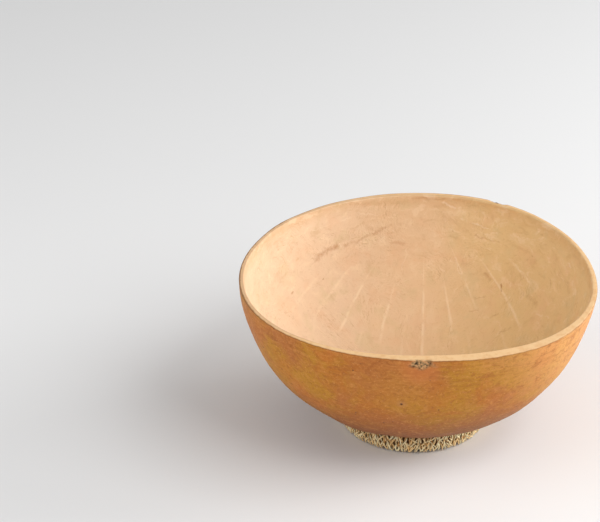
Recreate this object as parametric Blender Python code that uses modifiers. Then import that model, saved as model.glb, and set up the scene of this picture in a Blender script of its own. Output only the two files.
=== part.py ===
"""A half gourd: a bowl sawn from a dried gourd, standing on a ring of wound straw.

Units are metres and +Z is up.  Two separate things make up the part: the gourd shell, which grew as
one piece and was cut in half, and the straw ring that keeps its round underside from rolling.
"""
import math

import bmesh
import bpy
from mathutils import Vector

# --- driving dimensions ---------------------------------------------------------------------------
RIM_RADIUS = 0.1253          # mean outer radius at the cut
BOWL_DEPTH = 0.1115          # from the cut down to the lowest point of the skin
WALL = 0.0034                # thickness of the dried shell
WALL_ENDS = (                # extra thickness at the blossom and the stem end: how much, direction
    (0.0054, math.radians(-72)),
    (0.0020, math.radians(75)),
)
WALL_END_SHARPNESS = 4       # power that keeps the thick places narrow
WALL_THICKEST = 0.0110       # thickness that a full weight stands for
ROUNDNESS = 2.11             # power that shapes the side: 2 is an ellipse, more is fuller
WAIST = -0.031               # part of the radius gained half-way down, so the sides run straight
LEAN = -0.0125               # the same towards +X, because the gourd lay on one side as it grew
BOTTOM_SHIFT = -0.0036       # how far the lowest point lies off the middle of the rim, along X
RIM_LOBES = (                # the cut outline's deviation: count of lobes, height, direction
    (3, 0.0195, math.radians(234)),
    (4, 0.0077, math.radians(179)),
)
RIM_HEIGHT = 0.1164          # height of the cut above the surface that the ring stands on

RING_OUTER = 0.0514          # radius of the ring's outer wall
RING_WIDTH = 0.0130          # radial thickness of the bundle
RING_TOP = 0.0165            # height of the bundle before the bowl is pressed into it
RING_FOOT_ROUND = 0.0020     # rounding of the bundle's lower edges
RING_BULGE = 0.0006          # how far its walls swell half-way up
RING_SHIFT = -0.0030         # the ring's middle off the middle of the rim, along X

GAP = 0.0003                 # between the skin and the straw
MERGE = 0.00001              # merge distance of every modifier that merges
SAW_SIZE = 0.40              # side of the block that stands for the saw cut
SPARE_ABOVE_CUT = 0.08       # part of the depth modelled above the cut, for the saw to take off

SEGMENTS = 64                # round the gourd
RINGS = 40                   # from pole to pole of the whole gourd
RING_SEGMENTS = 64           # round the straw ring


def lobes(angle):
    """Relative height of the cut outline over a circle, in the direction of angle."""
    return sum(height * math.cos(count * angle - towards) for count, height, towards in RIM_LOBES)


def skin_point(unit, grown):
    """Move a point of the unit sphere to the gourd's skin, grown outwards by a small distance."""
    drop = -unit.z
    angle = math.atan2(unit.y, unit.x)
    fullness = max(0.0, 1.0 - abs(drop) ** ROUNDNESS)
    half_way = 4.0 * drop * (1.0 - abs(drop))
    shape = 1.0 + lobes(angle) * (1.0 - drop * drop) + (WAIST + LEAN * math.cos(angle)) * half_way
    radius = (RIM_RADIUS * math.sqrt(fullness)) * shape
    point = Vector((radius * math.cos(angle) + BOTTOM_SHIFT * drop ** 3, radius * math.sin(angle), -BOWL_DEPTH * drop))
    return point + grown * unit


def wall_at(point):
    """Thickness of the shell at a point of the skin: even, but for a thick place at each end of the gourd."""
    drop = -point.z / BOWL_DEPTH
    angle = math.atan2(point.y, point.x)
    ends = sum(extra * max(0.0, math.cos(angle - towards)) ** WALL_END_SHARPNESS for extra, towards in WALL_ENDS)
    return WALL + ends * (1.0 - drop) ** 2


def collection(name):
    """A new collection in the scene."""
    made = bpy.data.collections.new(name)
    bpy.context.scene.collection.children.link(made)
    return made


def principled(name, colour, roughness):
    """A plain material with a Principled shader."""
    material = bpy.data.materials.new(name)
    material.use_nodes = True
    shader = material.node_tree.nodes["Principled BSDF"]
    shader.inputs["Base Color"].default_value = (*colour, 1.0)
    shader.inputs["Roughness"].default_value = roughness
    shader.inputs["Metallic"].default_value = 0.0
    return material


def add_object(name, mesh, into, parent=None):
    """Put a mesh in the scene as a named object."""
    made = bpy.data.objects.new(name, mesh)
    into.objects.link(made)
    made.parent = parent
    return made


def gourd_mesh(name, grown=0.0):
    """The whole gourd's skin as a closed mesh: a sphere whose points are moved to the gourd's shape."""
    form = bmesh.new()
    bmesh.ops.create_uvsphere(form, u_segments=SEGMENTS, v_segments=RINGS, radius=1.0)
    for vertex in form.verts:
        vertex.co = skin_point(vertex.co.copy(), grown)
    mesh = bpy.data.meshes.new(name)
    form.to_mesh(mesh)
    form.free()
    return mesh


def open_top(mesh, height):
    """Take away everything above a height, which leaves an open skin."""
    form = bmesh.new()
    form.from_mesh(mesh)
    everything = form.verts[:] + form.edges[:] + form.faces[:]
    bmesh.ops.bisect_plane(
        form, geom=everything, dist=MERGE, plane_co=(0, 0, height), plane_no=(0, 0, 1), clear_outer=True)
    form.to_mesh(mesh)
    form.free()


def as_cutter(made):
    """Show an object as a wire guide that isn't part of the model."""
    made.hide_render = True
    made.display_type = 'WIRE'
    return made


def saw(into, parent):
    """The block above the cut."""
    bpy.ops.mesh.primitive_cube_add(size=SAW_SIZE)
    block = bpy.context.active_object
    block.name = "saw_cut"
    for old in list(block.users_collection):
        old.objects.unlink(block)
    into.objects.link(block)
    block.parent = parent
    block.location = (0, 0, SAW_SIZE / 2)
    return as_cutter(block)


def cut(piece, cutter):
    """Take the cutter's volume out of a piece."""
    boolean = piece.modifiers.new(cutter.name, 'BOOLEAN')
    boolean.operation = 'DIFFERENCE'
    boolean.solver = 'EXACT'
    boolean.object = cutter


def make_bowl(parts, cutters, root):
    """The gourd shell: the skin with a wall added inside it, sawn off flat at the rim."""
    mesh = gourd_mesh("gourd_bowl")
    open_top(mesh, SPARE_ABOVE_CUT * BOWL_DEPTH)
    mesh.shade_smooth()
    bowl = add_object("gourd_bowl", mesh, parts, root)
    weights = bowl.vertex_groups.new(name="wall_thickness")
    for vertex in mesh.vertices:
        weights.add([vertex.index], min(1.0, wall_at(vertex.co) / WALL_THICKEST), 'REPLACE')
    wall = bowl.modifiers.new("wall", 'SOLIDIFY')
    wall.thickness = WALL_THICKEST
    wall.vertex_group = weights.name
    wall.offset = -1.0
    wall.use_even_offset = True
    wall.use_quality_normals = True
    cut(bowl, saw(cutters, root))
    bowl.data.materials.append(principled("gourd_shell", (0.46, 0.18, 0.045), 0.45))
    return bowl


def bundle_section():
    """Half of the ring's cut face: its outer wall from the top down, the flat foot, and the inner wall."""
    middle = RING_OUTER - RING_WIDTH / 2
    half = RING_WIDTH / 2
    steps = 4
    outer = [(half, RING_TOP), (half + RING_BULGE, RING_TOP / 2)]
    for step in range(steps + 1):
        turn = math.pi / 2 * step / steps
        across = half - RING_FOOT_ROUND + RING_FOOT_ROUND * math.cos(turn)
        outer.append((across, RING_FOOT_ROUND - RING_FOOT_ROUND * math.sin(turn)))
    inner = [(-across, height) for across, height in reversed(outer)]
    return [Vector((middle + across, 0.0, height)) for across, height in outer + inner]


def make_ring(parts, cutters, root, floor):
    """The straw ring: its section turned about the upright axis, pressed to the bowl's shape on top."""
    section = bundle_section()
    edges = [(index, (index + 1) % len(section)) for index in range(len(section))]
    mesh = bpy.data.meshes.new("straw_ring")
    mesh.from_pydata(section, edges, [])
    ring = add_object("straw_ring", mesh, parts, root)
    ring.location = (RING_SHIFT, 0, floor)
    turned = ring.modifiers.new("turned", 'SCREW')
    turned.axis = 'Z'
    turned.angle = 2 * math.pi
    turned.steps = RING_SEGMENTS
    turned.render_steps = RING_SEGMENTS
    turned.use_merge_vertices = True
    turned.merge_threshold = MERGE
    turned.use_smooth_shade = True
    seat = as_cutter(add_object("bowl_seat", gourd_mesh("bowl_seat", GAP), cutters, root))
    cut(ring, seat)
    ring.data.materials.append(principled("straw", (0.42, 0.26, 0.12), 0.85))
    return ring


def world_bounds(piece):
    """Lowest and highest corner of a finished piece."""
    bpy.context.view_layer.update()
    finished = piece.evaluated_get(bpy.context.evaluated_depsgraph_get())
    corners = [finished.matrix_world @ Vector(corner) for corner in finished.bound_box]
    low = Vector(min(corner[axis] for corner in corners) for axis in range(3))
    high = Vector(max(corner[axis] for corner in corners) for axis in range(3))
    return low, high


def build():
    """Model the part, then stand it on the origin."""
    for old in list(bpy.data.objects):
        bpy.data.objects.remove(old, do_unlink=True)
    parts = collection("half_gourd")
    cutters = collection("cutters")
    root = bpy.data.objects.new("half_gourd_root", None)
    parts.objects.link(root)
    bowl = make_bowl(parts, cutters, root)
    make_ring(parts, cutters, root, -RIM_HEIGHT)
    low, high = world_bounds(bowl)
    root.location = (-(low.x + high.x) / 2, -(low.y + high.y) / 2, RIM_HEIGHT)


build()
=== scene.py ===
# %% [markdown]
# # Half a gourd on a ring of wound straw
#
# A gourd is left on its vine until the shell is dry and woody.  Sawn in half and scraped out, it is a
# light bowl.  Its underside is round, so it stands on a small ring: a bundle of grass with straw wound
# round it.  This lesson gives both pieces their real surface.  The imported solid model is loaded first,
# because it fixes where everything is and how large it is.
# %% Load the frame
import math

import bpy
import numpy as np
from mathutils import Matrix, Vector


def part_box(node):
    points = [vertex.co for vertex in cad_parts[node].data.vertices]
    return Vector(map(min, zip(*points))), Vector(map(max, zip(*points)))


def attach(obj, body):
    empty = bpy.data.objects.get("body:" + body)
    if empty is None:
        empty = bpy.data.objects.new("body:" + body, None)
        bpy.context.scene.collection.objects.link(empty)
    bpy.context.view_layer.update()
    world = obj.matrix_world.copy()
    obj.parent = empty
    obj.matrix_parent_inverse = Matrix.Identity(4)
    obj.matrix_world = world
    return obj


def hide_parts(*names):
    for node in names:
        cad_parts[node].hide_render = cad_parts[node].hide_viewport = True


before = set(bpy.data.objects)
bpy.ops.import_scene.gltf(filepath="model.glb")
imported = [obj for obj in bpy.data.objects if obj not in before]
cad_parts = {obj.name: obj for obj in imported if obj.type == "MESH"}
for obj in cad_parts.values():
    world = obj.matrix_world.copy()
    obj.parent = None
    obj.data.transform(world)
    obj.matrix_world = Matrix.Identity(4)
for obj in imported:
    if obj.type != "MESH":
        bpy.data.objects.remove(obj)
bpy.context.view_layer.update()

bowl_low, bowl_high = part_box("gourd_bowl")
ring_low, ring_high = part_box("straw_ring")


def millimetres(size):
    """A size in millimetres, for printing."""
    return [round(length * 1000, 1) for length in size]


print("bowl mm", millimetres(bowl_high - bowl_low))
print("ring mm", millimetres(ring_high - ring_low))

# %% [markdown]
# ## A surface from a grid
#
# Both pieces are made the same way: a formula gives a grid of points, row after row, and each row closes
# into a loop.  One function turns any such grid into a mesh.  Its ends are either joined to a single point,
# as at the bottom of a bowl, or joined to each other, as round a ring.
# %% Turn a grid of points into a mesh


def loop_faces(rows, columns, rows_close=False):
    """Four-sided faces between neighbouring rows of a grid whose columns close into loops.

    Row i, column j is point i * columns + j.  Each face goes along its row first and then to the next row,
    so it faces the way that (along the row) x (towards the next row) points.
    """
    row = np.arange(rows if rows_close else rows - 1)[:, None]
    column = np.arange(columns)[None, :]
    above = (row + 1) % rows
    beside = (column + 1) % columns
    here = row * columns
    onward = above * columns
    corners = (here + column, here + beside, onward + beside, onward + column)
    return np.stack(corners, axis=-1).reshape(-1, 4)


def end_fan(first_point, columns, end_point, at_start):
    """Triangles from one loop of points to the single point that closes it."""
    column = np.arange(columns)
    beside = (column + 1) % columns
    end = np.full(columns, end_point)
    order = (end, first_point + beside, first_point + column)
    if not at_start:
        order = (end, first_point + column, first_point + beside)
    return np.stack(order, axis=-1)


def make_piece(name, points, faces):
    """An object at the origin, shaded smooth, whose mesh has these points and faces."""
    mesh = bpy.data.meshes.new(name)
    mesh.from_pydata(points.reshape(-1, 3).tolist(), [], faces)
    mesh.polygons.foreach_set("use_smooth", [True] * len(mesh.polygons))
    mesh.update()
    piece = bpy.data.objects.new(name, mesh)
    bpy.context.scene.collection.objects.link(piece)
    print(f"{name}: {len(mesh.vertices)} points, {sum(len(face) - 2 for face in faces)} triangles")
    return piece


def set_attribute(piece, name, values):
    """Store one number for each point, which a material can read by name."""
    layer = piece.data.attributes.new(name, 'FLOAT', 'POINT')
    layer.data.foreach_set("value", np.ascontiguousarray(values, dtype=np.float32).ravel())


# %% [markdown]
# ## The gourd's form
#
# Seen from the side, the skin is close to an ellipse.  Seen from above, the cut is not quite a circle: a
# gourd grows in three or four soft lobes.  One formula gives the skin for any direction and any depth
# below the cut, with the same numbers as the solid model, so the detailed shell lies exactly over it.
# %% The skin as a formula
RIM_RADIUS = 0.1253
BOWL_DEPTH = 0.1115
ROUNDNESS = 2.11
WAIST = -0.031
LEAN = -0.0125
BOTTOM_SHIFT = -0.0036
RIM_LOBES = ((3, 0.0195, math.radians(234)), (4, 0.0077, math.radians(179)))


def lobes(angle):
    """Relative height of the cut outline over a circle: a sum of cosines, one for each count of lobes."""
    return sum(height * np.cos(count * angle - towards) for count, height, towards in RIM_LOBES)


def skin_radius(angle, drop):
    """Radius of the skin: an ellipse-like side, times the lobes, which fade downwards, and the waist."""
    fullness = np.sqrt(np.clip(1 - np.abs(drop) ** ROUNDNESS, 0, None))
    half_way = 4 * drop * (1 - np.abs(drop))
    shape = 1 + lobes(angle) * (1 - drop ** 2) + (WAIST + LEAN * np.cos(angle)) * half_way
    return RIM_RADIUS * fullness * shape


def skin_at_origin(angle, drop):
    """Points of the skin about the middle of the cut: angle runs round, drop from 0 at the cut to 1."""
    radius = skin_radius(angle, drop)
    x = radius * np.cos(angle) + BOTTOM_SHIFT * drop ** 3
    return np.stack([x, radius * np.sin(angle), -BOWL_DEPTH * drop], axis=-1)


all_round = np.linspace(0, 2 * math.pi, 720, endpoint=False)
outline = skin_at_origin(all_round, np.zeros_like(all_round))
box_middle = (np.array(bowl_low) + np.array(bowl_high)) / 2
RIM_MIDDLE = box_middle - (outline.min(axis=0) + outline.max(axis=0)) / 2
RIM_MIDDLE[2] = bowl_high[2]


def skin(angle, drop):
    """Points of the skin in the model's own frame."""
    return skin_at_origin(angle, drop) + RIM_MIDDLE


print("middle of the cut", RIM_MIDDLE.round(4))

# %% [markdown]
# ## The wall and its cut edge
#
# The shell is thin at the sides and thick at its two ends, where the flower and the stem were.  Its section
# is one path: up the skin, over the rounded outer edge, across the flat cut, over the inner edge and down
# the inside.  Carried round the bowl, that path is a closed surface.  The inside lies below the skin by
# the wall's thickness, measured square to the skin.
# %% The wall
WALL = 0.0034
WALL_ENDS = ((0.0054, math.radians(-72)), (0.0020, math.radians(75)))
WALL_END_SHARPNESS = 4


def wall(angle, drop):
    """Thickness of the shell: even, plus a thick place at each end of the gourd that fades downwards."""
    facing = [(extra, np.clip(np.cos(angle - towards), 0, None)) for extra, towards in WALL_ENDS]
    ends = sum(extra * share ** WALL_END_SHARPNESS for extra, share in facing)
    return WALL + ends * (1 - drop) ** 2


def outward(points):
    """Unit normals of a grid of points: (along the row) x (towards the next row), by differences."""
    along = np.roll(points, -1, axis=1) - np.roll(points, 1, axis=1)
    onward = np.gradient(points, axis=0)
    normal = np.cross(along, onward)
    return normal / np.maximum(np.linalg.norm(normal, axis=-1, keepdims=True), 1e-12)


# %% [markdown]
# Small unevenness comes from ripples: many weak waves in random directions, added up.  The sum is smooth
# and has no visible repeat.  Its numbers come from a seeded source, so it is the same on every run.
# %% Ripples
WAVES = 28


def ripples(points, size, seed):
    """Smooth bumps between about -1 and 1: a sum of cosines whose waves are about `size` long."""
    random = np.random.default_rng(seed)
    direction = random.normal(size=(WAVES, 3))
    direction /= np.linalg.norm(direction, axis=1, keepdims=True)
    length = size * random.uniform(0.7, 1.5, WAVES)
    phase = random.uniform(0, 2 * math.pi, WAVES)
    total = np.zeros(points.shape[:-1])
    for wave in range(WAVES):
        total += np.cos(points @ (direction[wave] * 2 * math.pi / length[wave]) + phase[wave])
    return total / math.sqrt(WAVES)


def bump(distance, width):
    """A bell: 1 where distance is 0, falling to nearly 0 at twice the width."""
    return np.exp(-(distance / width) ** 2)


# %% [markdown]
# ## Marks of growth and of the knife
#
# The gourd's two ends lie on the rim: the flower's end at the front, where half of its scar is left under
# the edge, and the stem's end at the back.  The fibres in the wall run from one end to the other like
# meridians on a globe, so a mark on the inside has a meridian angle: 0 straight down, more towards +X.
# %% The gourd's own axis
FLOWER_END = np.array([0.003, -0.122, RIM_MIDDLE[2]])
STEM_END = np.array([0.011, 0.122, RIM_MIDDLE[2]])
SCAR_MIDDLE = np.array([-0.0028, -0.1225, RIM_MIDDLE[2] - 0.0032])
SCAR_SIZE = np.array([0.0090, 0.0046])  # half its length along the rim, half its height
CHIP_ANGLE = math.radians(60)  # a chip in the outer edge of the rim
CHIP_HALF = 0.0080

FIBRES = (  # meridian in degrees, from and to in metres, strength
    (-59, 0.150, 0.200, 0.35), (-49, 0.176, 0.212, 0.50), (-37, 0.175, 0.216, 0.90),
    (-28, 0.150, 0.185, 0.30), (-19, 0.184, 0.214, 0.85), (-9, 0.160, 0.190, 0.25),
    (0, 0.172, 0.224, 0.90), (5, 0.120, 0.160, 0.30), (14, 0.186, 0.214, 0.75),
    (21, 0.150, 0.180, 0.30), (28, 0.200, 0.228, 0.60), (36, 0.140, 0.175, 0.30),
    (45, 0.170, 0.216, 0.75), (60, 0.180, 0.210, 0.35), (-66, 0.050, 0.095, 0.40),
    (-41, 0.035, 0.080, 0.55), (-22, 0.030, 0.085, 0.60), (-6, 0.025, 0.060, 0.55),
    (11, 0.030, 0.082, 0.65), (33, 0.035, 0.072, 0.50), (52, 0.045, 0.090, 0.45),
)
FIBRE_WIDTH = math.radians(0.72)
FIBRE_FADE = 0.008  # the length over which a fibre's end fades out

GROWTH = (STEM_END - FLOWER_END) / np.linalg.norm(STEM_END - FLOWER_END)
SIDEWAYS = np.cross(GROWTH, [0, 0, 1])
DOWNWARDS = np.cross(GROWTH, SIDEWAYS)


def meridian(points):
    """Angle about the line through both ends, and the way along it in metres from the flower's end."""
    away = points - FLOWER_END
    return np.arctan2(away @ SIDEWAYS, away @ DOWNWARDS), away @ GROWTH


print("end to end mm", round(float(np.linalg.norm(STEM_END - FLOWER_END)) * 1000, 1))
print("fibres", len(FIBRES))


# %% [markdown]
# Steps of one or two millimetres are enough for the unevenness of the wall.  The rows crowd together at
# the cut, where the edges are round over a millimetre.  Finer marks are left to the material.
# %% Build the shell
COLUMNS = 480
SKIN_ROWS = 92
EDGE_ROWS = 7
CUT_ROWS = 6
CROWDING = 1.35  # above 1, rows crowd together at the cut
INSIDE_ROWS = 84
OUTER_ROUND = 0.0011  # how far the rounding of the cut's edges reaches
INNER_ROUND = 0.0008
LOWEST_ROW = 0.9995  # the share of the depth where the inside's last row lies

angle = np.linspace(0, 2 * math.pi, COLUMNS, endpoint=False)[None, :]


def inner_skin(drop):
    """The inside of the wall under each point of the skin, as far in as the wall is thick there."""
    rows = skin(angle + 0 * drop, drop + 0 * angle)
    return rows + outward(rows) * wall(angle, drop)[..., None]


def rows_down(rows):
    """Shares of the depth from 0 almost to 1: a sine, whose steps are even along the round wall."""
    share = np.linspace(0, 1, rows + 1)[:-1, None]
    return np.sin(math.pi / 2 * share ** CROWDING)


def rounded_corner(start, corner, end, rows):
    """A soft corner: a curve from start to end that leans towards the corner (a quadratic Bezier)."""
    share = np.linspace(0, 1, rows)[:, None, None]
    return (1 - share) ** 2 * start + 2 * share * (1 - share) * corner + share ** 2 * end


def shell_rows():
    """The whole section path for every direction, and where each row lies on it.

    Returns the points, the distance below the outer edge and the distance below the inner edge.
    """
    down = rows_down(SKIN_ROWS)
    first = OUTER_ROUND / BOWL_DEPTH
    outer_drop = (first + (1 - first) * down)[::-1]
    outer_rows = skin(angle + 0 * outer_drop, outer_drop + 0 * angle)

    cut_corner = skin(angle, 0 * angle)
    inside_start = inner_skin(np.linspace(0, 0.02, 5)[:, None])[0]
    flat_inner = inside_start.copy()
    flat_inner[..., 2] = RIM_MIDDLE[2]
    inward = flat_inner - cut_corner
    width = np.linalg.norm(inward, axis=-1, keepdims=True)
    inward = inward / width
    outer_end = cut_corner + inward * OUTER_ROUND
    inner_begin = cut_corner + inward * (width - INNER_ROUND)
    outer_edge = rounded_corner(outer_rows[-1:], cut_corner, outer_end, EDGE_ROWS)[1:]
    share = np.linspace(0, 1, CUT_ROWS)[1:, None, None]
    cut = outer_end + (inner_begin - outer_end) * share

    lean = (inside_start[..., 2] - RIM_MIDDLE[2]) / BOWL_DEPTH
    inside_first = np.clip(lean, 0, None) + INNER_ROUND / BOWL_DEPTH
    inside_drop = inside_first + (LOWEST_ROW - inside_first) * rows_down(INSIDE_ROWS)
    inside_rows = inner_skin(inside_drop)
    inner_edge = rounded_corner(cut[-1:], flat_inner, inside_rows[:1], EDGE_ROWS)[1:-1]

    points = np.concatenate([outer_rows, outer_edge, cut, inner_edge, inside_rows])
    step = np.linalg.norm(np.diff(points, axis=0), axis=-1)
    length = np.concatenate([np.zeros((1, COLUMNS)), np.cumsum(step, axis=0)])
    outer_mark = length[len(outer_rows) - 1 + EDGE_ROWS // 2]
    inner_mark = length[len(points) - len(inside_rows) - EDGE_ROWS // 2]
    return points, outer_mark - length, length - inner_mark


shell_points, below_outer, below_inner = shell_rows()
print("section rows", len(shell_points), "cut width mm",
      round(float(WALL * 1000), 1), "to", round(float(wall(WALL_ENDS[0][1], 0) * 1000), 1))

# %% [markdown]
# Now the smooth form is worked over.  The skin has soft dents; the inside keeps the shallow facets of the
# scraper and fine ridges where fibres were left standing; the scar is rough and a little sunken; and the
# chip has taken a flake off the outer edge.
# %% Work over the smooth form
SKIN_DENTS = 0.00030
SKIN_GRAIN = 0.00005
SCRAPED = 0.00022
SCRAPER_STRETCH = np.array([0.45, 1.0, 1.0])  # the scraper's facets are longer along X
FIBRE_HEIGHT = 0.00010
CUT_WAVER = 0.00020
SCAR_DEPTH = 0.0007
CHIP_DEPTH = 0.0009


def smooth_step(value, low, high):
    """0 below low, 1 above high, and an S-shaped rise between them."""
    share = np.clip((value - low) / (high - low), 0, 1)
    return share * share * (3 - 2 * share)


on_skin = smooth_step(below_outer, 0.0, 0.004)
on_inside = smooth_step(below_inner, 0.0, 0.004)
on_cut = (1 - smooth_step(below_outer, 0, 0.001)) * (1 - smooth_step(below_inner, 0, 0.001))
fibre_angle, fibre_along = meridian(shell_points)

fibres = np.zeros_like(on_inside)
for at, start, end, strength in FIBRES:
    begun = smooth_step(fibre_along, start - FIBRE_FADE, start)
    ended = smooth_step(fibre_along, end, end + FIBRE_FADE)
    ridge = bump(fibre_angle - math.radians(at), 2 * FIBRE_WIDTH)
    fibres += strength * begun * (1 - ended) * ridge * on_inside

scraper = shell_points * SCRAPER_STRETCH
relief = on_skin * SKIN_DENTS * ripples(shell_points, 0.045, 1)
relief += on_skin * SKIN_GRAIN * ripples(shell_points, 0.006, 2)
relief += on_inside * SCRAPED * (ripples(scraper, 0.022, 3) + 0.5 * ripples(scraper, 0.009, 4))
relief += FIBRE_HEIGHT * fibres

from_scar = shell_points - SCAR_MIDDLE
scar_distance = np.hypot(from_scar[..., 0] / SCAR_SIZE[0], from_scar[..., 2] / SCAR_SIZE[1])
front = shell_points[..., 1] < 0
scar_edge = scar_distance + 0.16 * ripples(shell_points, 0.006, 5)
scar = (1 - smooth_step(scar_edge, 0.6, 1.1)) * front * (below_outer > -0.001)
relief += scar * SCAR_DEPTH * (0.6 * ripples(shell_points, 0.0028, 6) - 0.5)

chip_along = np.abs((angle - CHIP_ANGLE + math.pi) % (2 * math.pi) - math.pi) * RIM_RADIUS
chip = (1 - smooth_step(chip_along, 0.4 * CHIP_HALF, CHIP_HALF)) * bump(below_outer, 0.0022)
relief -= chip * CHIP_DEPTH * (1 + 0.5 * ripples(shell_points, 0.003, 7))

shell_normals = outward(shell_points)
shell_points = shell_points + shell_normals * relief[..., None]
shell_points[..., 2] += on_cut * CUT_WAVER * (ripples(shell_points, 0.05, 8) - 1.0)
shell_points[..., 2] = np.minimum(shell_points[..., 2], RIM_MIDDLE[2])
print("relief mm", (relief.min() * 1000).round(2), "to", (relief.max() * 1000).round(2))

# %% [markdown]
# The grid becomes the mesh.  Its first and last rows shrink almost to a point, and one point closes each
# of them.  Four numbers are stored for every point: two distances, so that the material can tell the skin,
# the cut and the inside apart, and the shares of the scar and the chip.
# %% Make the shell
rows = len(shell_points)
lowest_outside = shell_points[0].mean(axis=0)
lowest_inside = shell_points[-1].mean(axis=0)
shell_faces = loop_faces(rows, COLUMNS).tolist()
shell_faces += end_fan(0, COLUMNS, rows * COLUMNS, True).tolist()
shell_faces += end_fan((rows - 1) * COLUMNS, COLUMNS, rows * COLUMNS + 1, False).tolist()
all_points = np.vstack([shell_points.reshape(-1, 3), lowest_outside, lowest_inside])
shell = make_piece("gourd_shell", all_points, shell_faces)

stored_numbers = {
    "below_outer": (below_outer, below_outer[0].max(), below_outer[-1].min()),
    "below_inner": (below_inner, below_inner[0].min(), below_inner[-1].max()),
    "scar": (scar, 0, 0),
    "chip": (chip, 0, 0),
}
for name, (values, at_lowest_outside, at_lowest_inside) in stored_numbers.items():
    set_attribute(shell, name, np.append(values, [at_lowest_outside, at_lowest_inside]))
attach(shell, "root")
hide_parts("gourd_bowl")

# %% [markdown]
# ## The straw ring
#
# The ring is a bundle of grass stems bent round, with straw wound over it.  The bowl has pressed the
# bundle flat on top, so its section is a soft square whose upper side follows the gourd's skin.  To know
# where that is, the skin's formula is turned round: for a place seen from above, how high is the
# underside?  Halving an interval again and again finds it for all places at once.
# %% The underside of the bowl
HALVINGS = 30


def underside(x, y):
    """Height of the skin over a place near the middle, found by halving the range of drops."""
    shallow = np.full(np.shape(x), 0.5)
    deep = np.ones(np.shape(x))
    for _ in range(HALVINGS):
        middle = (shallow + deep) / 2
        away_x = x - RIM_MIDDLE[0] - BOTTOM_SHIFT * middle ** 3
        away_y = y - RIM_MIDDLE[1]
        outside = skin_radius(np.arctan2(away_y, away_x), middle) > np.hypot(away_x, away_y)
        shallow = np.where(outside, middle, shallow)
        deep = np.where(outside, deep, middle)
    return RIM_MIDDLE[2] - BOWL_DEPTH * (shallow + deep) / 2


PRESSED_IN = 0.0007  # the ring has given way on its -X side
ring_middle = (np.array(ring_low) + np.array(ring_high)) / 2 + [PRESSED_IN, 0, 0]
RING_WIDTH = 0.0142
RING_RADIUS = (ring_high[0] - ring_low[0]) / 2 - PRESSED_IN - RING_WIDTH / 2
SECTION_POWER = 3.2
PRESS_GAP = 0.0003


def bundle(turn, across, inset):
    """Points of the ring's surface: turn runs round the ring, across round its section.

    The section is a superellipse.  Its width is the bundle's, its lower side is the ground, and its upper
    side is the underside of the bowl.  inset moves the whole surface inwards.
    """
    cosine = np.sign(np.cos(across)) * np.abs(np.cos(across)) ** (2 / SECTION_POWER)
    sine = np.sign(np.sin(across)) * np.abs(np.sin(across)) ** (2 / SECTION_POWER)
    radius = RING_RADIUS + (RING_WIDTH / 2 - inset) * cosine
    x = ring_middle[0] + radius * np.cos(turn)
    y = ring_middle[1] + radius * np.sin(turn)
    top = underside(x, y) - PRESS_GAP - inset
    height = inset + (top - inset) * (0.5 + 0.5 * sine)
    return np.stack([x, y, height], axis=-1)


# %% [markdown]
# The bundle's stems show only in the dark gaps between the turns of straw.  Ridges along the ring, made by
# a wave round the section, are enough to suggest them.
# %% The bundle inside
CORE_INSET = 0.0011
STEMS = 14
STEM_RIDGE = 0.00025
STEM_TWIST = 3  # how many stems further each is after once round
CORE_COLUMNS = 240
CORE_ROWS = 56

turn = np.linspace(0, 2 * math.pi, CORE_COLUMNS, endpoint=False)[None, :]
across = np.linspace(0, 2 * math.pi, CORE_ROWS, endpoint=False)[:, None]
core_points = bundle(turn + 0 * across, across + 0 * turn, CORE_INSET)
core_normals = -outward(np.concatenate([core_points[-1:], core_points, core_points[:1]]))[1:-1]
ridges = STEM_RIDGE * np.cos(STEMS * across + STEM_TWIST * turn) - STEM_RIDGE
core_points = core_points + core_normals * ridges[..., None]
core_faces = loop_faces(CORE_ROWS, CORE_COLUMNS, rows_close=True).tolist()
core = make_piece("straw_core", core_points, core_faces)
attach(core, "root")
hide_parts("straw_ring")

# %% [markdown]
# ## The winding
#
# Straw is wound round the bundle in narrow turns, and short ends stand between the turns and over them.
# They differ in width, slant and tone.  Every straw is a flat rod with four sides, carried along its own
# line.  All straws of a kind are one array, with an entry for every straw, step and side.
# %% Rods along many lines at once
SIDES = 4
STRAW_GAP = 0.0002  # the least room between a straw and the gourd


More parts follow.
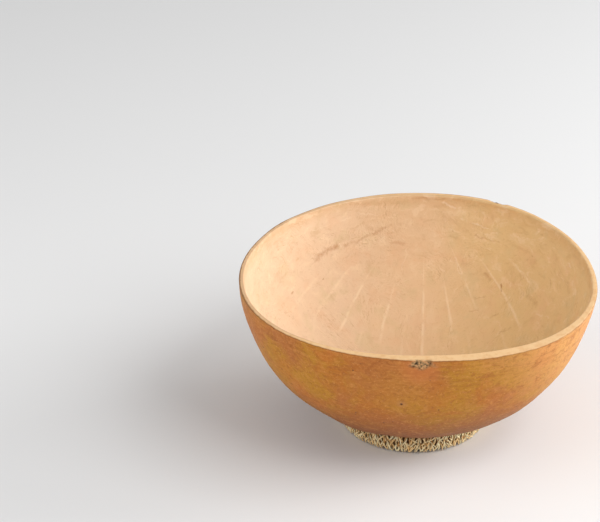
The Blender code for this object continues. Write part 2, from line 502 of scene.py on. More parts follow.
def flat_rods(name, lines, wide, thick, closed, random):
    """A mesh of flat rods, one along each line of points.

    A point is: line + wide / 2 * cos(side) * (level direction) + thick / 2 * sin(side) * (square one).
    wide and thick hold a number for each point of each line.  Open rods get a small face at each end.
    """
    count, steps = lines.shape[:2]
    if closed:
        ahead = np.roll(lines, -1, axis=1) - np.roll(lines, 1, axis=1)
    else:
        ahead = np.gradient(lines, axis=1)
    ahead /= np.linalg.norm(ahead, axis=-1, keepdims=True)
    from_middle = lines - ring_middle
    round_ring = np.stack([-from_middle[..., 1], from_middle[..., 0], 0 * from_middle[..., 2]], axis=-1)
    square = np.cross(round_ring, ahead)
    square /= np.linalg.norm(square, axis=-1, keepdims=True)
    level = np.cross(square, ahead)
    side = np.linspace(0, 2 * math.pi, SIDES, endpoint=False)
    offset = (wide[..., None] / 2 * np.cos(side))[..., None]
    rise = (thick[..., None] / 2 * np.sin(side))[..., None]
    points = lines[:, :, None] + level[:, :, None] * offset + square[:, :, None] * rise
    points[..., 2] = np.maximum(points[..., 2], 0.0)
    ceiling = underside(points[..., 0], points[..., 1]) - STRAW_GAP
    points[..., 2] = np.minimum(points[..., 2], ceiling)

    one = loop_faces(steps, SIDES, rows_close=closed)
    if not closed:
        last = (steps - 1) * SIDES
        one = np.vstack([one, [[3, 2, 1, 0]], [[last, last + 1, last + 2, last + 3]]])
    faces = one[None] + (np.arange(count) * steps * SIDES)[:, None, None]
    piece = make_piece(name, points, faces.reshape(-1, 4).tolist())
    set_attribute(piece, "tone", np.repeat(random.uniform(0, 1, count), steps * SIDES))
    set_attribute(piece, "over_width", np.tile(np.abs(np.cos(side)), steps * count))
    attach(piece, "root")
    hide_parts("straw_ring")
    return piece


def even_places(count, random):
    """Angles round the ring: even steps, each moved by up to a third of a step."""
    return ((np.arange(count) + random.uniform(-0.33, 0.33, count)) / count * 2 * math.pi)[:, None]


# %% [markdown]
# The winding itself is a set of closed turns.  Each follows the section of the bundle once round, leaning a
# little along the ring on its way up and back on its way down, as real winding does.
# %% Wind the straw round the bundle
TURNS = 160
TURN_STEPS = 14
TURN_LEAN = 0.030  # radians along the ring, as a spread
TURN_SWAY = 0.008
TURN_WIDE = (0.0009, 0.0016)
TURN_THICK = (0.0006, 0.0009)


def wind(name, count, seed):
    """Closed turns of straw, whose place along the ring is a lean * sin(the way round the section).

    A second, weaker wave of twice the frequency makes each turn waver in its own way.
    """
    random = np.random.default_rng(seed)
    places = even_places(count, random)
    lean = random.normal(0, TURN_LEAN, count)[:, None]
    waver = random.uniform(0, 2 * math.pi, count)[:, None]
    step = np.linspace(0, 2 * math.pi, TURN_STEPS, endpoint=False)[None, :]
    thick = random.uniform(*TURN_THICK, count)[:, None] + 0 * step
    wide = random.uniform(*TURN_WIDE, count)[:, None] + 0 * step
    turn_at = places + lean * np.sin(step) + TURN_SWAY * np.sin(2 * step + waver)
    lines = bundle(turn_at, step + 0 * places, thick / 2)
    return flat_rods(name, lines, wide, thick, True, random)


winding = wind("straw_winding", TURNS, 11)

# %% [markdown]
# The short ends lie on the outer side of the ring, one over another.  Each starts at a height of its own,
# leans one way or the other along the ring and bows outwards a little.  Their tops stop at different
# heights, so the ring looks ragged where it meets the gourd.
# %% Short ends of straw
END_STEPS = 6
END_HUMP = (0.0001, 0.0008)
END_CURL = 0.010
END_WIDE = (0.0007, 0.0013)
END_THICK = (0.0005, 0.0008)
SPREAD = (0.60, 0.40)  # of the bow: its mean share, and how much that varies
SPREAD_TOWARDS = math.radians(-20)  # the side on which the ends spread out most

STRAW_ENDS = (  # name, count, foot, length, bow, lean, seed
    ("low_straw_ends", 260, (0.0003, 0.0010), (0.0035, 0.0075), (-0.0003, 0.0004), 0.050, 12),
    ("high_straw_ends", 330, (0.0020, 0.0100), (0.0032, 0.0070), (0.0000, 0.0011), 0.050, 13),
    ("stray_straw_ends", 120, (0.0010, 0.0095), (0.0035, 0.0075), (0.0004, 0.0020), 0.060, 14),
)


def straw_ends(name, count, foot, length, bow, lean, seed):
    """Open rods up the outer side: the height rises evenly with the share of the way up.

    The radius is the ring's own + bow * share + hump * sin(pi * share), and the tips are half as wide.
    """
    random = np.random.default_rng(seed)
    places = even_places(count, random)
    share = np.linspace(0, 1, END_STEPS)[None, :]
    start = random.uniform(*foot, count)[:, None]
    rise = random.uniform(*length, count)[:, None] * share
    spread = SPREAD[0] + SPREAD[1] * np.cos(places - SPREAD_TOWARDS)
    outward_by = random.uniform(*bow, count)[:, None] * spread
    hump = random.uniform(*END_HUMP, count)[:, None]
    slant = random.normal(0, lean, count)[:, None]
    curl = random.normal(0, END_CURL, count)[:, None]
    turn_at = places + slant * (share - 0.5) + curl * np.sin(math.pi * share)
    radius = RING_RADIUS + RING_WIDTH / 2 + outward_by * share + hump * np.sin(math.pi * share)
    x = ring_middle[0] + radius * np.cos(turn_at)
    y = ring_middle[1] + radius * np.sin(turn_at)
    taper = 1 - 0.5 * np.abs(2 * share - 1) ** 4
    wide = random.uniform(*END_WIDE, count)[:, None] * taper
    thick = random.uniform(*END_THICK, count)[:, None] * taper
    height = np.minimum(start + rise, underside(x, y) - STRAW_GAP - thick)
    return flat_rods(name, np.stack([x, y, height], axis=-1), wide, thick, False, random)


short_ends = [straw_ends(*kind) for kind in STRAW_ENDS]

# %% [markdown]
# ## Sums with shader nodes
#
# A material's maths is easier to read as a formula than as boxes and wires.  The class below wraps one
# output socket, and Python's own operators then add Math nodes, also when a plain number comes first.
# %% A small shader language


class Wire:
    """One output socket of a material's nodes, which can be used in sums."""

    def __init__(self, sheet, socket):
        self.sheet = sheet
        self.socket = socket

    def maths(self, operation, *values):
        return self.sheet.node("ShaderNodeMath", {"operation": operation}, dict(enumerate(values)))

    def __add__(self, other):
        return self.maths('ADD', self, other)

    def __sub__(self, other):
        return self.maths('SUBTRACT', self, other)

    def __rsub__(self, other):
        return self.maths('SUBTRACT', other, self)

    def __mul__(self, other):
        return self.maths('MULTIPLY', self, other)

    def __abs__(self):
        return self.maths('ABSOLUTE', self)

    __radd__ = __add__
    __rmul__ = __mul__


class Sheet:
    """A material and its nodes."""

    def __init__(self, name, specular=0.5):
        self.material = bpy.data.materials.new(name)
        self.material.use_nodes = True
        self.tree = self.material.node_tree
        self.shader = self.tree.nodes["Principled BSDF"]
        self.shader.inputs["Specular IOR Level"].default_value = specular

    def put(self, socket, value):
        """Link a wire to an input socket, or set the socket to a number, a colour or a vector."""
        if isinstance(value, Wire):
            self.tree.links.new(value.socket, socket)
        else:
            socket.default_value = value

    def node(self, kind, settings, values, output=0):
        """Add a node: its settings first, then its inputs by name or number; returns one output."""
        made = self.tree.nodes.new(kind)
        for name, value in settings.items():
            setattr(made, name, value)
        for name, value in values.items():
            self.put(made.inputs[name], value)
        return Wire(self, made.outputs[output])

    def finish(self, **values):
        """Feed the shader's own sockets; an underscore in a name stands for a space."""
        for name, value in values.items():
            self.put(self.shader.inputs[name.replace("_", " ")], value)
        return self.material


# %% [markdown]
# A few short helpers name what the materials below use most: object coordinates, stored numbers, noise,
# soft steps and the mixing of colours.
# %% Helpers for materials


def object_place(sheet):
    """Where a point of the piece is, in metres."""
    return sheet.node("ShaderNodeTexCoord", {}, {}, "Object")


def stored(sheet, name):
    """A number stored for each point of the mesh."""
    return sheet.node("ShaderNodeAttribute", {"attribute_name": name}, {}, "Fac")


def vector_maths(operation, first, second, output="Vector"):
    """A sum of two vectors."""
    return first.sheet.node("ShaderNodeVectorMath", {"operation": operation}, {0: first, 1: second}, output)


def along_direction(at, direction):
    """How far a place lies in a direction: the dot product of the two."""
    return vector_maths('DOT_PRODUCT', at, tuple(float(part) for part in direction), "Value")


def noise(at, scale, detail=3.0, rough=0.5, warp=0.0, output="Fac"):
    """Cloudy noise from 0 to 1; scale is about the number of blobs in a metre."""
    values = {"Vector": at, "Scale": scale, "Detail": detail, "Roughness": rough, "Distortion": warp}
    return at.sheet.node("ShaderNodeTexNoise", {}, values, output)


def drawn_out(at, stretch, scale, detail=3.0, rough=0.5, warp=0.0):
    """Noise with its own scale for each axis: a small number draws the pattern out along that axis."""
    return noise(vector_maths('MULTIPLY', at, stretch), scale, detail, rough, warp)


def swayed(at, place, scale, detail, rough, sway):
    """A place moved to and fro along each axis by up to half of sway, by noise that is read at `at`."""
    colours = noise(at, scale, detail, rough, output="Color")
    moved = vector_maths('MULTIPLY', colours, sway)
    centred = vector_maths('SUBTRACT', moved, tuple(part / 2 for part in sway))
    return vector_maths('ADD', place, centred)


def soft(value, low, high):
    """0 below low and 1 above high, with an S-shaped rise; the other way round if low is the greater."""
    falls = low > high
    values = {"Value": value, "From Min": min(low, high), "From Max": max(low, high)}
    values.update({"To Min": float(falls), "To Max": float(not falls)})
    return value.sheet.node("ShaderNodeMapRange", {"interpolation_type": 'SMOOTHSTEP'}, values)


def blob(at, middle, radius):
    """1 at a place and 0 at a distance of radius from it."""
    return soft(vector_maths('DISTANCE', at, middle, "Value"), radius, radius * 0.25)


def mix(share, first, second):
    """Two colours mixed by a share from 0 to 1."""
    ends = [colour if isinstance(colour, Wire) else (*colour, 1) for colour in (first, second)]
    return share.sheet.node("ShaderNodeMix", {"data_type": 'RGBA'}, {0: share, 6: ends[0], 7: ends[1]}, 2)


def srgb(red, green, blue):
    """A colour as it looks on screen, from 0 to 255, as the linear numbers that a shader uses."""
    shown = np.array([red, green, blue]) / 255
    linear = np.where(shown > 0.04045, ((shown + 0.055) / 1.055) ** 2.4, shown / 12.92)
    return tuple(linear.tolist())


def relief_normal(height):
    """The normal of a surface whose relief has this height in metres."""
    return height.sheet.node("ShaderNodeBump", {}, {"Strength": 1.0, "Distance": 1.0, "Height": height})


# %% [markdown]
# ## The skin
#
# A dried gourd's skin is smooth and satin, orange-brown, and never even.  Large clouds run from ochre to
# a pinkish brown; over them lies a fine mottling of two or three millimetres, with light flecks and dark
# pinholes; and along the rim, brown streaks follow the edge.  Each is one layer of noise at its own size,
# mixed over the layers before it.
# %% Skin colour and relief
OCHRE = srgb(188, 128, 26)
ORANGE = srgb(190, 110, 30)
PINKISH = srgb(184, 110, 46)
RUSSET = srgb(166, 94, 34)
PEACH = srgb(218, 160, 98)
YELLOW_PATCHES = (  # middle and radius, in metres
    (-0.015, -0.117, 0.087, 0.030),
    (-0.090, -0.071, 0.070, 0.026),
    (0.100, -0.068, 0.078, 0.030),
)
RED_PATCHES = (
    (-0.062, -0.108, 0.110, 0.016),
    (-0.077, -0.078, 0.058, 0.024),
    (0.082, -0.100, 0.108, 0.018),
)
PATCH_SWAY = (0.030, 0.030, 0.030)
OLD_PIT = tuple(skin(math.radians(-98), 0.36).tolist())
# The side where the skin gets a painted highlight: it faces the key lights.
PAINTED_HIGHLIGHT_SIDE = (0.83, -0.35, 0.44)


def patches(at, places):
    """Soft blobs at given places, added together, with uneven edges."""
    moved = swayed(at, at, 50, 3, 0.6, PATCH_SWAY)
    total = 0.0
    for x, y, z, radius in places:
        total = blob(moved, (x, y, z), radius) + total
    return total


def pinholes(at, scale, size, share):
    """Scattered dots: 1 in the middle of some cells, 0 elsewhere; a greater share fills fewer cells."""
    distance = at.sheet.node("ShaderNodeTexVoronoi", {}, {"Vector": at, "Scale": scale}, "Distance")
    here = noise(at, scale * 0.31, 2, 0.5)
    return soft(distance, size, size * 0.4) * soft(here, share, share + 0.06)


def skin_colour_and_height(at, depth):
    """The colour of the skin, a share of roughness and the height of its relief in metres."""
    clouds = noise(at, 20, 4, 0.6, 0.5)
    tint = noise(at, 44, 4, 0.6, 0.3)
    colour = mix(soft(clouds, 0.40, 0.60), PINKISH, OCHRE)
    colour = mix(soft(tint, 0.46, 0.66) * 0.7, colour, ORANGE)
    colour = mix(patches(at, YELLOW_PATCHES) * 0.42, colour, srgb(196, 132, 34))
    colour = mix(patches(at, RED_PATCHES) * 0.62, colour, srgb(198, 108, 40))
    # Painted highlight: the skin is painted paler peach on the side facing the key lights, where the light
    # falls most, over its own paler tint there.
    painted_highlight = soft(along_direction(at, PAINTED_HIGHLIGHT_SIDE), 0.104, 0.166)
    colour = mix(painted_highlight * 0.68, colour, PEACH)
    # Painted shade: the skin is painted darker towards the bottom, where the underside of the bowl lies in
    # shade over the ring.
    painted_underside_shade = soft(depth, 0.040, 0.105)
    colour = mix(painted_underside_shade * 0.90, colour, srgb(124, 64, 8))

    near_rim = soft(depth, 0.040, 0.004)
    streaks = drawn_out(at, (1, 1, 9), 46, 5, 0.65, 0.3)
    colour = mix(soft(streaks, 0.50, 0.66) * near_rim * 0.55, colour, RUSSET)
    colour = mix(soft(streaks, 0.50, 0.34) * near_rim * 0.35, colour, srgb(214, 148, 78))
    wavy = drawn_out(at, (1, 1, 1.5), 85, 5, 0.65, 2.2)
    colour = mix(soft(wavy, 0.52, 0.64) * 0.50, colour, RUSSET)
    colour = mix(soft(wavy, 0.48, 0.36) * 0.28, colour, srgb(210, 146, 72))

    mottle = noise(at, 380, 4, 0.7, 0.6)
    speckle = noise(at, 900, 3, 0.6)
    colour = mix(soft(mottle, 0.53, 0.72) * 0.46, colour, srgb(138, 80, 24))
    colour = mix(soft(mottle, 0.47, 0.30) * 0.42, colour, srgb(222, 154, 76))
    colour = mix(soft(speckle, 0.60, 0.74) * 0.35, colour, srgb(232, 180, 116))
    dots = pinholes(at, 150, 0.13, 0.50)
    old_pit = blob(at, OLD_PIT, 0.0014)
    colour = mix(blob(at, OLD_PIT, 0.0050) * 0.30, colour, srgb(196, 140, 88))
    dark_spots = dots * 0.75 + old_pit
    colour = mix(dark_spots, colour, srgb(84, 44, 20))
    height = mottle * 0.00016 + streaks * near_rim * 0.00014 + speckle * 0.00004 - dark_spots * 0.00030
    return colour, mottle, height


# %% [markdown]
# ## The inside
#
# Scraped and dried, the inside is matt and pale; painted light makes it paler on the -X side, whose wall
# faces the key lights, and tanner on the +X side, which lies in shade.  To place marks on it, the material
# works out two maps.  One is the meridian: fibres are thin light lines on it.
# The other unrolls the wall: the direction round the bowl and the drop below the cut, both in metres, so
# that a stroke of the knife is a straight line there.
# %% Two maps of the wall
UNROLLED_RADIUS = 0.110
DOWN_THE_CURVE = 1.15  # a drop's length along the wall over its height
WALL_SWAY = (0.0080, 0.0080, 0.0)


def meridian_map(at):
    """The meridian angle and the way along the gourd's axis, as in the function for points above."""
    away = vector_maths('SUBTRACT', at, tuple(FLOWER_END.tolist()))
    across = along_direction(away, SIDEWAYS)
    down = along_direction(away, DOWNWARDS)
    return across.maths('ARCTAN2', across, down), along_direction(away, GROWTH)


def unrolled(angle, drop):
    """Where a direction in degrees and a drop from 0 to 1 lie on the unrolled wall."""
    return (math.radians(angle) * UNROLLED_RADIUS, drop * BOWL_DEPTH * DOWN_THE_CURVE, 0.0)


def unrolled_map(at):
    """The unrolled wall as a vector: angle * radius, and the drop as it is along the curved wall."""
    away = vector_maths('SUBTRACT', at, tuple(RIM_MIDDLE.tolist()))
    x, y, z = [along_direction(away, axis) for axis in ((1, 0, 0), (0, 1, 0), (0, 0, 1))]
    values = {"X": x.maths('ARCTAN2', y, x) * UNROLLED_RADIUS, "Y": z * -DOWN_THE_CURVE}
    flat = at.sheet.node("ShaderNodeCombineXYZ", {}, values)
    return swayed(at, flat, 130, 4, 0.65, WALL_SWAY)


# %% [markdown]
# Fibres and strokes are lists: where each begins and ends, how wide it is and how strong.  A stroke's
# strength falls off with the distance from its line, which vector maths gives in five nodes: how far
# along the line the nearest point is, and how far away that point is.
# %% Fibres and strokes
DARK_STROKES = (  # degrees and drop of both ends, half width in mm, strength
    (130, 0.32, 120, 0.28, 3.6, 1.10), (116, 0.29, 105, 0.25, 2.6, 0.70),
    (104, 0.25, 98, 0.20, 1.8, 0.80), (98, 0.31, 93, 0.32, 2.6, 0.70), (66, 0.24, 57, 0.24, 1.2, 0.70),
    (69, 0.51, 65, 0.59, 0.5, 0.50), (61, 0.59, 56, 0.57, 1.0, 0.70), (61, 0.66, 57, 0.64, 1.0, 0.65),
    (50, 0.66, 46, 0.62, 1.1, 0.90), (40, 0.70, 35, 0.65, 1.1, 0.90), (59, 0.455, 57, 0.465, 2.4, 0.90),
    (51, 0.475, 50, 0.505, 1.3, 1.50), (129.5, 0.45, 129, 0.45, 1.1, 1.50),
    (146.5, 0.44, 146, 0.44, 1.7, 1.40), (36, 0.47, 29, 0.47, 2.8, 0.60), (4, 0.26, 3, 0.26, 1.5, 0.90),
    (28, 0.29, 26, 0.34, 0.8, 0.90), (89, 0.02, 79, 0.025, 1.6, 0.70), (146, 0.20, 144, 0.27, 1.0, 0.40),
    (-38, 0.30, -52, 0.26, 1.4, 0.55), (-110, 0.35, -118, 0.31, 1.2, 0.50),
)
LIGHT_STROKES = (
    (129, 0.13, 121, 0.12, 0.7, 0.40), (121, 0.12, 112, 0.12, 0.8, 0.70),
    (118, 0.27, 117.5, 0.285, 0.9, 0.90), (102, 0.29, 100, 0.265, 0.8, 0.80),
    (111, 0.09, 103, 0.12, 1.0, 0.50), (92, 0.36, 94, 0.48, 0.8, 0.40), (72, 0.14, 66, 0.16, 0.9, 0.60),
    (66, 0.16, 59, 0.18, 0.9, 0.80), (73, 0.39, 69, 0.50, 0.8, 0.60), (49, 0.33, 38, 0.39, 0.8, 0.40),
    (26, 0.51, 18, 0.48, 1.1, 0.45), (24, 0.14, 17, 0.13, 1.0, 0.60), (79, 0.045, 75, 0.07, 1.4, 0.80),
    (-70, 0.22, -84, 0.25, 0.9, 0.50), (-128, 0.42, -122, 0.52, 0.8, 0.50),
)


def fibre_lines(angle, along, broken):
    """Thin lines on chosen meridians: each fades at both sides and at both ends."""
    lines = 0.0
    for degrees, start, end, strength in FIBRES:
        line = soft(abs(angle - math.radians(degrees)), FIBRE_WIDTH * 1.5, 0.0)
        half = (end - start) / 2
        reach = soft(abs(along - (start + half)), half + FIBRE_FADE, half - FIBRE_FADE)
        lines = line * reach * strength + lines
    return lines * broken


def stroke_lines(flat, strokes):
    """Strokes on the unrolled wall: distance from flat to the nearest point of each line."""
    total = 0.0
    for from_angle, from_drop, to_angle, to_drop, half_width, strength in strokes:
        start = Vector(unrolled(from_angle, from_drop))
        line = Vector(unrolled(to_angle, to_drop)) - start
        away = vector_maths('SUBTRACT', flat, tuple(start))
        share = along_direction(away, line / line.length_squared)
        within = flat.sheet.node("ShaderNodeClamp", {}, {0: share, 1: 0.0, 2: 1.0})
        scaling = {0: tuple(line), "Scale": within}
        nearest = flat.sheet.node("ShaderNodeVectorMath", {"operation": 'SCALE'}, scaling)
        distance = vector_maths('DISTANCE', away, nearest, "Value")
        total = soft(distance, half_width * 0.001, 0.0) * strength + total
    return total


print("dark strokes", len(DARK_STROKES), "light strokes", len(LIGHT_STROKES))


# %% [markdown]
# The rest of the inside is chance: soft clouds, the finest grain, and hundreds of faint scratches.  The
# scratches are noise drawn out along a direction of its own in each cell of a Voronoi pattern.  At the
# bottom the unrolled map runs together, so the scratches there lie on the plan as seen from above.
# %% Inside colour and relief
PALE = srgb(231, 199, 166)
CREAM = srgb(230, 195, 155)
TAN = srgb(227, 193, 140)
PINK = srgb(230, 182, 142)
BISCUIT = srgb(180, 130, 80)


def scratches(flat, size, seed):
    """Fine noise drawn out along the wall, turned by a random angle in each cell of a pattern."""
    moved = vector_maths('ADD', flat, (seed, seed, 0))
    cells = {"Vector": moved, "Scale": 1 / size}
    cell = flat.sheet.node("ShaderNodeTexVoronoi", {"voronoi_dimensions": '2D'}, cells, "Color")
    chance = flat.sheet.node("ShaderNodeSeparateColor", {}, {0: cell})
    turning = {"Vector": moved, "Angle": chance * math.pi}
    turned = flat.sheet.node("ShaderNodeVectorRotate", {"rotation_type": 'Z_AXIS'}, turning)
    lines = drawn_out(turned, (0.14, 1, 1), 900, 3, 0.55)
    return (lines - 0.5) * soft(noise(flat, 0.8 / size, 2, 0.5), 0.42, 0.62)


def inside_colour_and_height(at, depth):
    """The colour of the scraped wall and the height of its relief in metres."""
    from_left = along_direction(at, (1, 0, 0))
    flat = unrolled_map(at)
    angle, along = meridian_map(at)
    clouds = noise(at, 26, 4, 0.55, 0.3)
    tint = noise(at, 60, 3, 0.55)
    # Painted light: the wall is painted paler on the -X side, which faces the key lights, and tan on the +X
    # side, which lies in shade.
    colour = mix(soft(from_left + (clouds - 0.5) * 0.10, -0.075, 0.020), PALE, CREAM)
    colour = mix(soft(from_left + (clouds - 0.5) * 0.06, 0.000, 0.070), colour, TAN)
    colour = mix(soft(tint, 0.50, 0.72) * 0.28, colour, PINK)
    colour = mix(soft(tint, 0.48, 0.30) * 0.35, colour, srgb(212, 188, 142))
    colour = mix(soft(depth, 0.012, 0.001) * 0.35, colour, srgb(208, 160, 104))
    upper_wall = 0.50 + soft(depth, 0.090, 0.020) * 0.50
    smears = drawn_out(flat, (1, 1.5, 1), 75, 5, 0.68, 0.8)
    colour = mix(soft(smears, 0.52, 0.68) * upper_wall * 0.38, colour, srgb(248, 220, 184))
    colour = mix(soft(smears, 0.48, 0.32) * upper_wall * 0.20, colour, BISCUIT)

    broken = soft(noise(at, 85, 2, 0.5), 0.30, 0.50)
    fibres = fibre_lines(angle + (clouds - 0.5) * 0.05, along, broken)
    on_wall = scratches(flat, 0.018, 0.30) + scratches(flat, 0.030, 0.70)
    at_bottom = soft(depth, 0.112, 0.135)
    scraped = on_wall * (1 - at_bottom) + scratches(at, 0.024, 0.50) * at_bottom * 0.8
    colour = mix(fibres * 0.50, colour, srgb(255, 230, 196))
    colour = mix(soft(scraped, 0.05, 0.24) * 0.30, colour, srgb(248, 222, 188))
    colour = mix(soft(scraped, -0.05, -0.24) * 0.30, colour, BISCUIT)
    light = stroke_lines(flat, LIGHT_STROKES) * broken
    colour = mix(light * 0.45, colour, srgb(255, 234, 206))
    patchy = 0.35 + soft(noise(at, 210, 4, 0.7), 0.36, 0.62) * 0.65
    dark = stroke_lines(flat, DARK_STROKES) * patchy
    colour = mix(dark * 0.44, colour, srgb(172, 108, 58))
    grain = noise(at, 700, 4, 0.65)
    colour = mix(soft(grain, 0.54, 0.72) * 0.20, colour, BISCUIT)
    height = fibres * 0.00016 + scraped * 0.00030 + grain * 0.00008 - dark * 0.00012
    return colour, height


# %% [markdown]
# ## One material for the whole shell
#
# The shell is one closed surface, so one material covers it.  The stored distances below the outer and the
# inner edge say where it is skin, cut or inside, and a little noise makes the borders ragged.  First come
# the colours of the skin and the inside.
# %% The shell's material
RAGGED_BY = 0.0012
WORN_BY = 0.0026
BACK_LEFT = (-0.6, 0.8, 0)  # the side where the cut is worn and its edges are softer
SCAR_HALO = tuple((SCAR_MIDDLE - [0, 0, 0.0040]).tolist())
SCAR_HALO_RADIUS = 0.019

shell_sheet = Sheet("gourd shell", specular=0.28)
at = object_place(shell_sheet)
ragged = (noise(at, 240, 3, 0.6) - 0.5) * RAGGED_BY
outer = stored(shell_sheet, "below_outer") + ragged
inner = stored(shell_sheet, "below_inner") + ragged
skin_colour, mottle, skin_height = skin_colour_and_height(at, outer)
inside_colour, inside_height = inside_colour_and_height(at, inner)
halo = blob(at, SCAR_HALO, SCAR_HALO_RADIUS)
skin_colour = mix(halo * 0.50, skin_colour, srgb(208, 120, 60))
in_corner = soft(inner, 0.0006, -0.0006)
inside_colour = mix(in_corner * 0.30, inside_colour, BISCUIT)

# %% [markdown]
# The cut lies between the two.  On the back left it is worn: its inner border has moved outwards, and more
# of the skin's dark edge shows.
# %% The cut between skin and inside
cut_grain = noise(at, 130, 4, 0.65)
cut_share = soft(cut_grain, 0.42, 0.72)
colour = mix(cut_share, srgb(230, 190, 140), srgb(220, 172, 120))
to_back_left = along_direction(at, BACK_LEFT)
worn_inner_edge = soft(to_back_left, -0.085, 0.010) * WORN_BY
skin_seen = soft(to_back_left, -0.010, 0.060)
is_skin = soft(outer, -0.0002, 0.0003)
is_inside = soft(inner + worn_inner_edge, 0.0, 0.0010)
line_begins = soft(outer + skin_seen * 0.0006, -0.0005, -0.0001)
edge_line = line_begins * soft(outer, 0.0013, 0.0003)
colour = mix(is_inside, colour, inside_colour)
colour = mix(is_skin, colour, skin_colour)
colour = mix(edge_line * (0.40 + skin_seen * 0.30), colour, srgb(112, 66, 32))

# %% [markdown]
# The scar is a mix of three colours in small blotches, from nearly black to pale cork, and the chip is
# coloured a darker greyish brown.  Last come the relief and the gloss: the skin is satin, all else matt.
# %% Scar, chip, relief and gloss
scar_share = stored(shell_sheet, "scar")
scar_blotch = noise(at, 420, 3, 0.6)
grey_share = soft(scar_blotch, 0.36, 0.50)
cork_share = soft(scar_blotch, 0.48, 0.60)
scar_colour = mix(grey_share, srgb(64, 44, 28), srgb(156, 126, 86))
scar_colour = mix(cork_share, scar_colour, srgb(214, 158, 106))
colour = mix(scar_share, colour, scar_colour)
chipped = soft(stored(shell_sheet, "chip"), 0.25, 0.60)
colour = mix(chipped * 0.85, colour, srgb(140, 116, 100))

height = skin_height * is_skin + inside_height * (1 - is_skin) + scar_blotch * scar_share * 0.0005
gloss = 0.86 - is_skin * 0.40 + mottle * is_skin * 0.14 + scar_share * 0.35
normal = relief_normal(height)
shell.data.materials.append(shell_sheet.finish(Base_Color=colour, Roughness=gloss, Normal=normal))
print("gourd shell material:", len(shell_sheet.tree.nodes), "nodes")

# %% [markdown]
# ## The straw
#
# Dry straw is pale and a little shiny, with fine lines along its length.  Every straw has its own tone,
# from greyish straw to warm tan, and painted shade makes it darker along its edges, where it meets its
# neighbours.  The bundle inside shows only in shade, and painted shade makes its colour darker and browner.
# %% Straw materials


def straw_material(name, dark, light):
    """Straw whose tone changes from one to the next, with lines along it and painted shade along its edges.
    """
    sheet = Sheet(name, specular=0.35)
    at = object_place(sheet)
    lines = drawn_out(at, (1, 1, 0.2), 1600, 3, 0.6)
    blotches = noise(at, 200, 3, 0.6)
    colour = mix(stored(sheet, "tone"), dark, light)
    colour = mix(soft(blotches, 0.50, 0.75) * 0.22, colour, srgb(180, 132, 82))
    colour = mix(soft(lines, 0.50, 0.75) * 0.28, colour, srgb(156, 112, 66))
    # Painted shade: each straw is painted darker along its edges, where it meets its neighbours and the
    # gaps between them lie in shade.
    painted_edge_shade = soft(stored(sheet, "over_width"), 0.6, 1.0)
    colour = mix(painted_edge_shade * 0.30, colour, srgb(128, 80, 34))
    normal = relief_normal(lines * 0.00015)
    return sheet.finish(Base_Color=colour, Roughness=0.62 + blotches * 0.2, Normal=normal)


pale_straw = straw_material("pale straw", srgb(246, 204, 138), srgb(255, 246, 204))
for ends in short_ends:
    ends.data.materials.append(pale_straw)
brown_straw = straw_material("brown straw", srgb(212, 154, 86), srgb(252, 220, 160))
winding.data.materials.append(brown_straw)

core_sheet = Sheet("straw bundle")
core_at = object_place(core_sheet)
core_noise = noise(core_at, 300, 4, 0.6)
# Painted shade: the bundle is painted very dark brown, for the shade in the gaps between the turns of straw
# where it shows.
core_colour = mix(core_noise, srgb(60, 38, 20), srgb(130, 94, 54))
core_normal = relief_normal(core_noise * 0.0003)
core.data.materials.append(core_sheet.finish(Base_Color=core_colour, Roughness=0.9, Normal=core_normal))
for material in (pale_straw, brown_straw, core_sheet.material):
    print(f"{material.name} material: {len(material.node_tree.nodes)} nodes")

# %% [markdown]
# ## Floor, light and camera
#
# The floor is one wide pale square, so that the picture has no edge behind the bowl.  It isn't part of the
# object.
# %% Floor
FLOOR_SIZE = 14.0

half = FLOOR_SIZE / 2
floor_corners = [(-half, -half, 0), (half, -half, 0), (half, half, 0), (-half, half, 0)]
floor_mesh = bpy.data.meshes.new("floor")
floor_mesh.from_pydata(floor_corners, [], [(0, 1, 2, 3)])
floor = bpy.data.objects.new("floor", floor_mesh)
bpy.context.scene.collection.objects.link(floor)
floor_sheet = Sheet("pale floor")
floor.data.materials.append(floor_sheet.finish(Base_Color=(0.80, 0.80, 0.80, 1), Roughness=0.9))

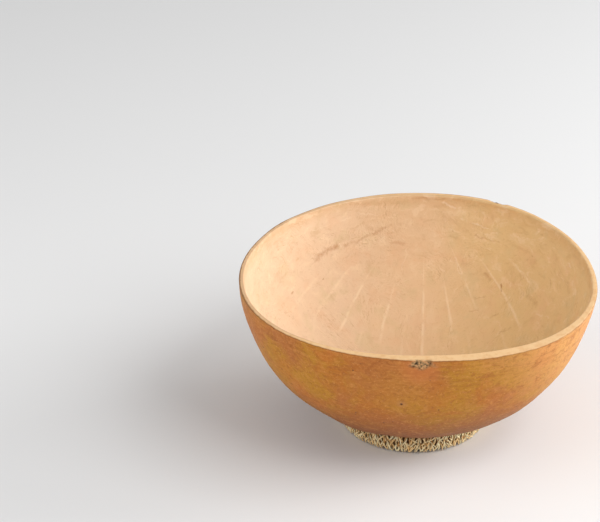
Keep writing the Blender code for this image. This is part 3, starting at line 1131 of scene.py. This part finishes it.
# %% [markdown]
# Two large soft lights stand on the right, one low and one high, and a weaker one fills in from the left.
# The white surround lifts the shadows.  Large lights keep the shadows' edges soft.
# %% Light
SURROUND_STRENGTH = 0.4
LIT_PLACE = Vector((0, 0, 0.06))
LIGHT_DISTANCE = 1.8

world = bpy.data.worlds.new("studio")
bpy.context.scene.world = world
world.use_nodes = True
surround = world.node_tree.nodes["Background"]
surround.inputs["Color"].default_value = (1, 1, 1, 1)
surround.inputs["Strength"].default_value = SURROUND_STRENGTH


def area_light(name, direction, size, power):
    """A square soft light that shines on the bowl from a direction."""
    lamp = bpy.data.lights.new(name, 'AREA')
    lamp.size = size
    lamp.energy = power
    made = bpy.data.objects.new(name, lamp)
    bpy.context.scene.collection.objects.link(made)
    towards = Vector(direction).normalized()
    made.location = LIT_PLACE + towards * LIGHT_DISTANCE
    made.rotation_euler = towards.to_track_quat('Z', 'Y').to_euler()
    print(f"{name}: {size} m square, {power} W")


area_light("low key from the right", (0.94, 0.25, 0.24), 1.1, 32)
area_light("high key from the right", (0.60, -0.40, 0.70), 1.3, 20)
area_light("fill from the left", (-0.85, -0.30, 0.42), 1.3, 12)

# %% [markdown]
# The camera stands well back with a long lens and looks down at 28 degrees.  It aims to the left of the
# bowl, so that the bowl sits right of the middle of the picture.
# %% Camera
ELEVATION = math.radians(27.963)
DISTANCE = 1.70
LENS = 146.06
AIM_LEFT = 0.08327
AIM_UP = 0.0080

back = Vector((0, -math.cos(ELEVATION), math.sin(ELEVATION)))
picture_up = Vector((0, math.sin(ELEVATION), math.cos(ELEVATION)))
aim = Vector(RIM_MIDDLE) - Vector((AIM_LEFT, 0, 0)) + picture_up * AIM_UP
camera_data = bpy.data.cameras.new("camera")
camera_data.lens = LENS
camera_data.clip_start = 0.05
camera_data.clip_end = 50
camera = bpy.data.objects.new("camera", camera_data)
bpy.context.scene.collection.objects.link(camera)
camera.location = aim + back * DISTANCE
camera.rotation_euler = back.to_track_quat('Z', 'Y').to_euler()
bpy.context.scene.camera = camera
bpy.context.scene.view_settings.view_transform = 'Standard'
print("camera at", [round(part, 2) for part in camera.location], "lens mm", LENS)
